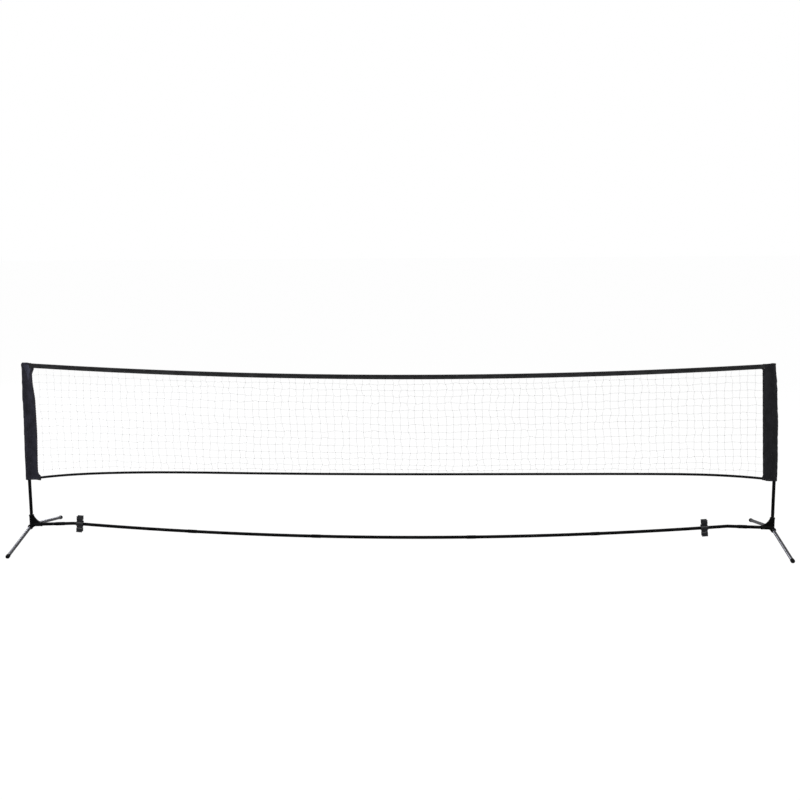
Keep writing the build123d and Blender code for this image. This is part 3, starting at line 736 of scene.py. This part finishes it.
class Sleeve:
    """A cloth pocket round one pole, sewn into a doubled flap that holds the net.

    s runs round the cut cloth from the flap's front edge to its back edge, z is the height."""

    def __init__(self, name, side, seed, closed):
        low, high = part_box("net_sleeve_" + name)
        self.name, self.seed, self.closed = name, seed, closed
        self.end = 0 if side < 0 else 1
        self.toward = -side
        self.low, self.high = low.z, high.z
        # the pole's axis, from the points that stand out farthest to its front and back
        pole = cloud_of("upper_pole_" + name)
        pole = pole[np.abs(pole[:, 1]) > 0.995 * np.abs(pole[:, 1]).max()]
        order = np.argsort(pole[:, 2])
        self.axis_x, self.axis_z = pole[order, 0], pole[order, 2]
        self.tape_low = float(net_top(TAPE_ENDS[self.end]))
        self.hem_top = float(net_bottom(HEM_ENDS[self.end]))
        middle = (self.low + self.high) / 2
        self.flap = float(self.drawn_edge(middle))
        self.lay_out()

    def axis(self, z):
        """x of the pole's axis at each height, carried on straight beyond the pole's end."""
        inside = np.interp(z, self.axis_z, self.axis_x)
        end = self.axis_z[-1]
        slope = (self.axis_x[-1] - np.interp(end - 0.05, self.axis_z, self.axis_x)) / 0.05
        return inside + slope * np.maximum(np.asarray(z) - end, 0)

    def drawn_edge(self, z):
        """How far the flap's free edge is from the pole's axis."""
        return np.abs(net_side(self.end, z) - self.axis(z))

    def lay_out(self):
        """The section at rest: flap, pocket, flap, as distance from the pole axis and y."""
        tangent = math.acos(POCKET_R / SEAM_D) * 0.92
        theta = np.linspace(tangent, math.tau - tangent, POCKET_STEPS)
        reach = np.where(np.cos(theta) > 0, POCKET_R, POCKET_SLACK)
        arc = np.stack([reach * np.cos(theta), -POCKET_R * np.sin(theta)], -1)
        flap_d = np.linspace(self.flap, SEAM_D, FLAP_STEPS)
        front = np.stack([flap_d, np.full(FLAP_STEPS, -FLAP_HALF)], -1)
        back = front[::-1] * np.array([1, -1])
        path = np.concatenate([front, arc, back])
        self.s = np.concatenate([[0], np.cumsum(np.linalg.norm(np.diff(path, axis=0), axis=1))])
        self.width = float(self.s[-1])
        self.path = path
        ahead = np.gradient(path, self.s, axis=0)
        ahead = ahead / np.linalg.norm(ahead, axis=1, keepdims=True)
        self.normal = np.stack([ahead[:, 1], -ahead[:, 0]], -1)
        outward = np.sign(np.sum(self.normal * (path - np.array([SEAM_D * 0.5, 0.0])), axis=1).sum())
        self.normal = self.normal * outward

    def fullness(self, z):
        """How far the pocket stands off the outer side of the pole, as a share of its slack."""
        if self.closed:
            return 1 + 0.45 * smooth(z, self.low + 0.45, self.low)
        return 1 - 0.27 * np.exp(-(((z - self.low - 0.40) / 0.24) ** 2))

    def flap_edge(self, z):
        """How far the flap reaches toward the net at each height."""
        near_tape = np.clip((z - (self.tape_low - FLAP_FILLET)) / FLAP_FILLET, 0, 1)
        drawn = self.drawn_edge(z)
        reach = drawn + FLAP_FILLET * (1 - np.sqrt(np.clip(1 - near_tape**2, 0, 1)))
        tucked = smooth(z, self.tape_low + 0.006, self.tape_low + 0.012)
        reach = reach * (1 - tucked) + (drawn - 0.0005) * tucked
        if self.closed:
            # slack at mid height, pulled in below the corner, flared at the foot where the hem pulls
            below_tape = smooth(z, self.tape_low + 0.004, self.tape_low - 0.004)
            slack = 0.0105 * smooth(z, self.low + 0.05, self.low + 0.38)
            pulled = 0.0115 * smooth(z, self.tape_low - 0.234, self.tape_low - 0.079)
            corner = 0.016 * smooth(z, self.tape_low - 0.049, self.tape_low + 0.001)
            reach = reach + (slack - pulled + corner) * below_tape
            gathers = np.abs(np.sin(math.pi * z / GATHER_PITCH))
            reach = reach + 0.0022 * gathers * smooth(z, self.tape_low - 0.02, self.tape_low - 0.05)
            flare = smooth(z, self.hem_top + 0.040, self.hem_top)
            reach = reach + FLAP_FLARE * flare**1.6
        else:
            reach = reach + 0.0008 * np.abs(np.sin(math.pi * z / 0.0500))
            reach = reach + 0.0045 * smooth(z, self.hem_top + 0.018, self.hem_top) ** 1.5
        return reach

    def wrinkles(self, s, z, d):
        """How far the cloth stands out of its drawn section."""
        seed = self.seed
        pocket = smooth(np.abs(s - self.width / 2), self.width * 0.30, self.width * 0.16)
        folds = 0.0011 * (0.7 + ripple(s, z, 0.045, 0.30, seed)) + 0.0006 * ripple(s, z, 0.02, 0.06, seed + 1)
        slant = 0.0009 * np.sin(math.tau * (d / 0.030 + z / 0.085 + 0.3 * ripple(s, z, 0.1, 0.2, seed + 2)))
        slant = slant * smooth(z, self.high - 0.22, self.high - 0.02)
        return pocket * (np.clip(folds, -0.0002, 0.0028) + slant)

    def at(self, s, z, lift=0.0):
        """Points of the outer face."""
        s, z = np.broadcast_arrays(np.asarray(s, float), np.asarray(z, float))
        d = np.interp(s, self.s, self.path[:, 0])
        y = np.interp(s, self.s, self.path[:, 1])
        nd = np.interp(s, self.s, self.normal[:, 0])
        ny = np.interp(s, self.s, self.normal[:, 1])
        flat = smooth(d, SEAM_D, SEAM_D + 0.004)
        reach = self.flap_edge(z)
        d = np.where(d > SEAM_D, SEAM_D + (d - SEAM_D) * (reach - SEAM_D) / (self.flap - SEAM_D), d)
        d = np.where(d < 0, d * self.fullness(z), d)
        out = self.wrinkles(s, z, d) * (1 - flat)
        # both layers of the flap move together, and lie still where the net is sewn in
        sewn = np.minimum(reach, self.drawn_edge(z))
        hold = flat * smooth(d, sewn, sewn - 0.022)
        sway = FLAP_SWAY * hold * ripple(d, z, 0.05, 0.16, self.seed + 5)
        room = smooth(d, self.flap - 0.024, self.flap - 0.016) * smooth(z, self.hem_top + 0.012, self.hem_top)
        y = y + np.sign(y) * 0.0010 * room * flat
        d = d + nd * (out + lift)
        y = y + ny * (out + lift) + sway
        if self.closed:
            rise = np.clip((z - (self.high - CLOSED_TOP)) / 0.013, 0, 1)
            close = np.sqrt(np.clip(1 - rise**2, 0, 1))
            y = y * (0.04 + 0.96 * close)
            d = np.where(d < 0, d * (0.42 + 0.58 * close), d)
            z = z - 0.0035 * smooth(d, 0.020, 0.040) * smooth(z, self.high - 0.10, self.high)
        else:
            z = z - 0.0022 * smooth(d, 0.020, 0.045) * smooth(z, self.high - 0.10, self.high)
            z = z + 0.0012 * np.sin(s * 60) * smooth(z, self.high - 0.03, self.high) * smooth(d, 0.02, 0.0)
        droop = smooth(z, self.low + 0.05, self.low)
        raised = FOOT_RISE * smooth(d, 0.03, self.flap + 0.02)
        if self.closed:
            raised = FOOT_RISE - 0.5 * raised
        z = z + droop * (0.0010 * ripple(s, s, 0.06, 0.06, self.seed + 7) + raised)
        return np.stack([self.axis(z) + self.toward * d, y, z], -1)

    def across(self, s, z, step=0.0004):
        """Outward normals by small steps."""
        by_s = self.at(np.asarray(s) + step, z) - self.at(np.asarray(s) - step, z)
        by_z = self.at(s, np.asarray(z) + step) - self.at(s, np.asarray(z) - step)
        normal = np.cross(by_s, by_z)
        normal = normal / np.maximum(np.linalg.norm(normal, axis=-1, keepdims=True), 1e-12)
        place = self.at(s, z)
        beyond = place[..., 0] - self.axis(place[..., 2]) - self.toward * 0.01
        away = np.stack([0.2 * beyond, place[..., 1]], -1)
        flip = np.sign(np.sum(normal[..., :2] * away, axis=-1, keepdims=True))
        return normal * np.where(flip == 0, 1, flip)

    def cloth(self, material):
        """The sleeve's piece: the cut sampled finely, its closed top sewn shut."""
        round_pole = self.s[FLAP_STEPS : FLAP_STEPS + POCKET_STEPS : 3]
        back_edge = self.width - np.array([0.0, 0.0015, 0.003])
        columns = np.unique(np.concatenate([np.linspace(0, self.width, 64), round_pole, back_edge]))
        z = np.linspace(self.low, self.high - 0.014, 168)
        z = np.concatenate([z, self.high + np.linspace(-CLOSED_TOP, 0.0, 9)])
        grid = self.at(columns[None, :], z[:, None])
        uv = np.stack(np.broadcast_arrays(columns[None, :], z[:, None]), -1)
        faces = grid_faces(len(z), len(columns))
        by_s = grid[5, 30] - grid[5, 29]
        by_z = grid[6, 30] - grid[5, 30]
        outward = grid[5, 30] - np.array([self.axis(z[5]) + self.toward * 0.01, 0, grid[5, 30][2]])
        if float(np.dot(np.cross(by_s, by_z), outward)) < 0:
            faces = faces[:, ::-1]
        if self.closed:
            n = len(columns)
            top = (len(z) - 1) * n + np.arange(n)
            half = n // 2
            seam = np.stack([top[: half - 1], top[1:half], top[::-1][1:half], top[::-1][: half - 1]], -1)
            faces = np.concatenate([faces, seam])
        piece = mesh_piece(
            "sleeve_" + self.name,
            grid.reshape(-1, 3),
            faces,
            "upper_left",
            material,
            uv.reshape(-1, 2),
        )
        solid_sheet(piece)
        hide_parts("net_sleeve_" + self.name)

    def row(self, heap, s, z):
        """A row of stitches through these places on the cloth."""
        s, z = np.broadcast_arrays(np.asarray(s, float), np.asarray(z, float))
        stitches(heap, self.at(s, z), self.across(s, z), *SEAM_STITCH)

    def place(self, d, back=False):
        """The cut's s for a distance from the pole axis on the front or back flap."""
        s = np.interp(-d, -self.path[:FLAP_STEPS, 0], self.s[:FLAP_STEPS])
        return self.width - s if back else s


def sleeve_thread(sleeve):
    """Seams of one sleeve: pocket seam, flap edge, hems at the top and the foot."""
    heap = Heap()
    tall = np.linspace(sleeve.low + 0.004, sleeve.high - 0.018, 260)
    for back in (False, True):
        for d in (SEAM_D + 0.001, sleeve.flap - 0.004, sleeve.flap - 0.011):
            sleeve.row(heap, sleeve.place(d, back), tall)
        for z in (sleeve.low + 0.008, sleeve.low + 0.0105, sleeve.high - 0.020):
            first, last = sleeve.place(sleeve.flap - 0.003, back), sleeve.width * (0.5 - 0.02)
            wide = np.linspace(first, sleeve.width - last if back else last, 60)
            sleeve.row(heap, wide, z)
    # folded hem strips on the pocket's outer side
    for part in (0.405, 0.595):
        sleeve.row(heap, sleeve.width * part, tall)
    return heap


def edge_thread(sleeve, pitch):
    """Thread whipped over the flap's free edge."""
    heap = Heap()
    z = np.arange(sleeve.hem_top + 0.01, sleeve.tape_low - 0.006, pitch)
    for back in (False, True):
        for height in z:
            first = sleeve.place(sleeve.flap, back)
            last = sleeve.place(sleeve.flap - 0.0045, back)
            s = np.linspace(first, last, 5)
            line = sleeve.at(s, np.linspace(height, height + 0.0016, 5))
            face = 1.0 if back else -1.0
            stitches(heap, line, np.tile([0.0, face, 0.0], (5, 1)), 0.0044, 0.0042, 0.0005)
    return heap


def corner_patch(sleeve, back):
    """The three-cornered reinforcement at the top of the left sleeve."""
    tall, rows, columns = PATCH_TALL, 30, 24
    t = np.linspace(0, 1, rows)
    z = sleeve.high - 0.016 - tall * t
    left_s, right_s = sleeve.place(sleeve.flap - 0.016), sleeve.width * 0.385
    point_s = sleeve.place(0.030)
    first = left_s + (point_s - left_s - 0.001) * t**1.15
    last = right_s + (point_s - right_s + 0.001) * t**0.9
    across = np.linspace(0, 1, columns)
    s = first[:, None] + (last - first)[:, None] * across[None, :]
    rim = np.minimum(np.minimum(across, 1 - across)[None, :] * 14, (1 - t)[:, None] * 10)
    lift = 0.0007 * np.clip(rim, 0, 1) ** 0.5 + 0.0001
    grid_z = np.broadcast_to(z[:, None], s.shape)
    cut = sleeve.width - s if back else s
    grid = sleeve.at(cut, grid_z, lift)
    uv = np.stack([s + 0.31, grid_z + 0.17 * s], -1)
    faces = grid_faces(rows, columns)
    if back:
        faces = faces[:, ::-1]
    piece = mesh_piece(
        "corner_patch_" + ("back" if back else "front"),
        grid.reshape(-1, 3),
        faces,
        "upper_left",
        patch_cloth,
        uv.reshape(-1, 2),
    )
    heap = Heap()
    for side in (first + 0.0022, last - 0.0022):
        keep = t < 0.93
        run = side[keep]
        run = sleeve.width - run if back else run
        line = sleeve.at(run, z[keep], 0.0007)
        stitches(heap, line, sleeve.across(run, z[keep]), *PATCH_STITCH)
    return heap


left = Sleeve("left", -1, 51, True)
right = Sleeve("right", 1, 71, False)
left.cloth(sleeve_left_cloth_lit)
right.cloth(sleeve_right_cloth)
sleeve_thread(left).piece("sleeve_left_stitches", "upper_left", thread_dark, "sleeve_fabric")
sleeve_thread(right).piece("sleeve_right_stitches", "upper_left", thread_dark, "sleeve_fabric")
edge_thread(left, 0.0086).piece("sleeve_left_edge_thread", "upper_left", thread_brown, "sleeve_fabric")
edge_thread(right, 0.0100).piece("sleeve_right_edge_thread", "upper_left", thread_dark, "sleeve_fabric")
for back in (False, True):
    name = "patch_stitches_" + ("back" if back else "front")
    corner_patch(left, back).piece(name, "upper_left", thread_dark, "sleeve_fabric")


# ---------------------------------------------------------------- floor, light, camera

def plain_stage():
    """A pale floor that lights softly, far larger than the stand."""
    material, tree, bsdf = shader("floor_white", (0.05, 0.05, 0.05), 0.9, specular=0.0)
    grain = noise(tree, coordinates(tree), 2.0, 2)
    tree.links.new(mixed(tree, grain, (0.045, 0.045, 0.045), (0.05, 0.05, 0.05)), bsdf.inputs["Base Color"])
    bsdf.inputs["Emission Color"].default_value = (1, 1, 1, 1)
    bsdf.inputs["Emission Strength"].default_value = FLOOR_GLOW
    mesh = bpy.data.meshes.new("floor")
    corners = [(x * FLOOR_HALF, y * FLOOR_HALF, FLOOR_Z) for x, y in ((-1, -1), (1, -1), (1, 1), (-1, 1))]
    mesh.from_pydata(corners, [], [(0, 1, 2, 3)])
    mesh.materials.append(material)
    floor = link(bpy.data.objects.new("floor", mesh))
    floor.visible_glossy = False


def soft_light(name, place, target, size, power, colour=(1, 1, 1)):
    """A rectangular soft light at a place, turned toward its target."""
    data = bpy.data.lights.new(name, "AREA")
    data.shape = "RECTANGLE"
    data.size, data.size_y = size
    data.energy = power
    data.color = colour
    lamp = link(bpy.data.objects.new(name, data))
    lamp.location = place
    lamp.rotation_euler = (Vector(target) - Vector(place)).to_track_quat("-Z", "Y").to_euler()
    return lamp


plain_stage()
soft_light("softbox_left", (-5.2, -3.2, 3.0), (-2.2, 0, 0.4), (1.2, 2.6), 170, (0.93, 0.96, 1.0))
soft_light("softbox_right", (5.2, -3.2, 3.0), (2.2, 0, 0.4), (1.2, 2.6), 120)
soft_light("overhead", (0, -1.0, 4.2), (0, 0, 0), (7.0, 1.6), 260)
for lamp in (
    soft_light("backlight_left", (-4.0, 7.0, 3.2), (-2.5, -0.3, 0.1), (4.4, 2.8), 170, (0.9, 0.92, 1.0)),
    soft_light("backlight_right", (4.7, 7.0, 2.3), (2.5, -0.3, 0.1), (1.8, 1.5), 9),
):
    lamp.visible_camera = False

world = bpy.data.worlds.new("studio")
bpy.context.scene.world = world
world.use_nodes = True
sky = world.node_tree.nodes["Background"]
sky.inputs["Color"].default_value = (1, 1, 1, 1)
ray = node(world.node_tree, "ShaderNodeLightPath")
strength = spread(world.node_tree, ray.outputs["Is Camera Ray"], 0, 1, SKY_LIGHT, 1.0)
world.node_tree.links.new(strength, sky.inputs["Strength"])


def photo_camera():
    """Camera at the photograph's viewing angle, from its place, pitch, yaw and roll."""
    sin_a, cos_a = math.sin(CAMERA_LEFT), math.cos(CAMERA_LEFT)
    sin_b, cos_b = math.sin(CAMERA_DOWN), math.cos(CAMERA_DOWN)
    ahead = Vector((-sin_a * cos_b, cos_a * cos_b, -sin_b))
    level = Vector((cos_a, sin_a, 0))
    upward = level.cross(ahead)
    turn_x = level * math.cos(CAMERA_ROLL) + upward * math.sin(CAMERA_ROLL)
    turn_y = upward * math.cos(CAMERA_ROLL) - level * math.sin(CAMERA_ROLL)
    data = bpy.data.cameras.new("camera")
    data.lens = CAMERA_LENS
    data.sensor_width = 36
    data.clip_end = 300
    camera = link(bpy.data.objects.new("camera", data))
    rotation = Matrix((turn_x, turn_y, -ahead)).transposed()
    camera.matrix_world = Matrix.Translation(CAMERA_PLACE) @ rotation.to_4x4()
    bpy.context.scene.camera = camera


photo_camera()
bpy.context.scene.view_settings.view_transform = "Standard"
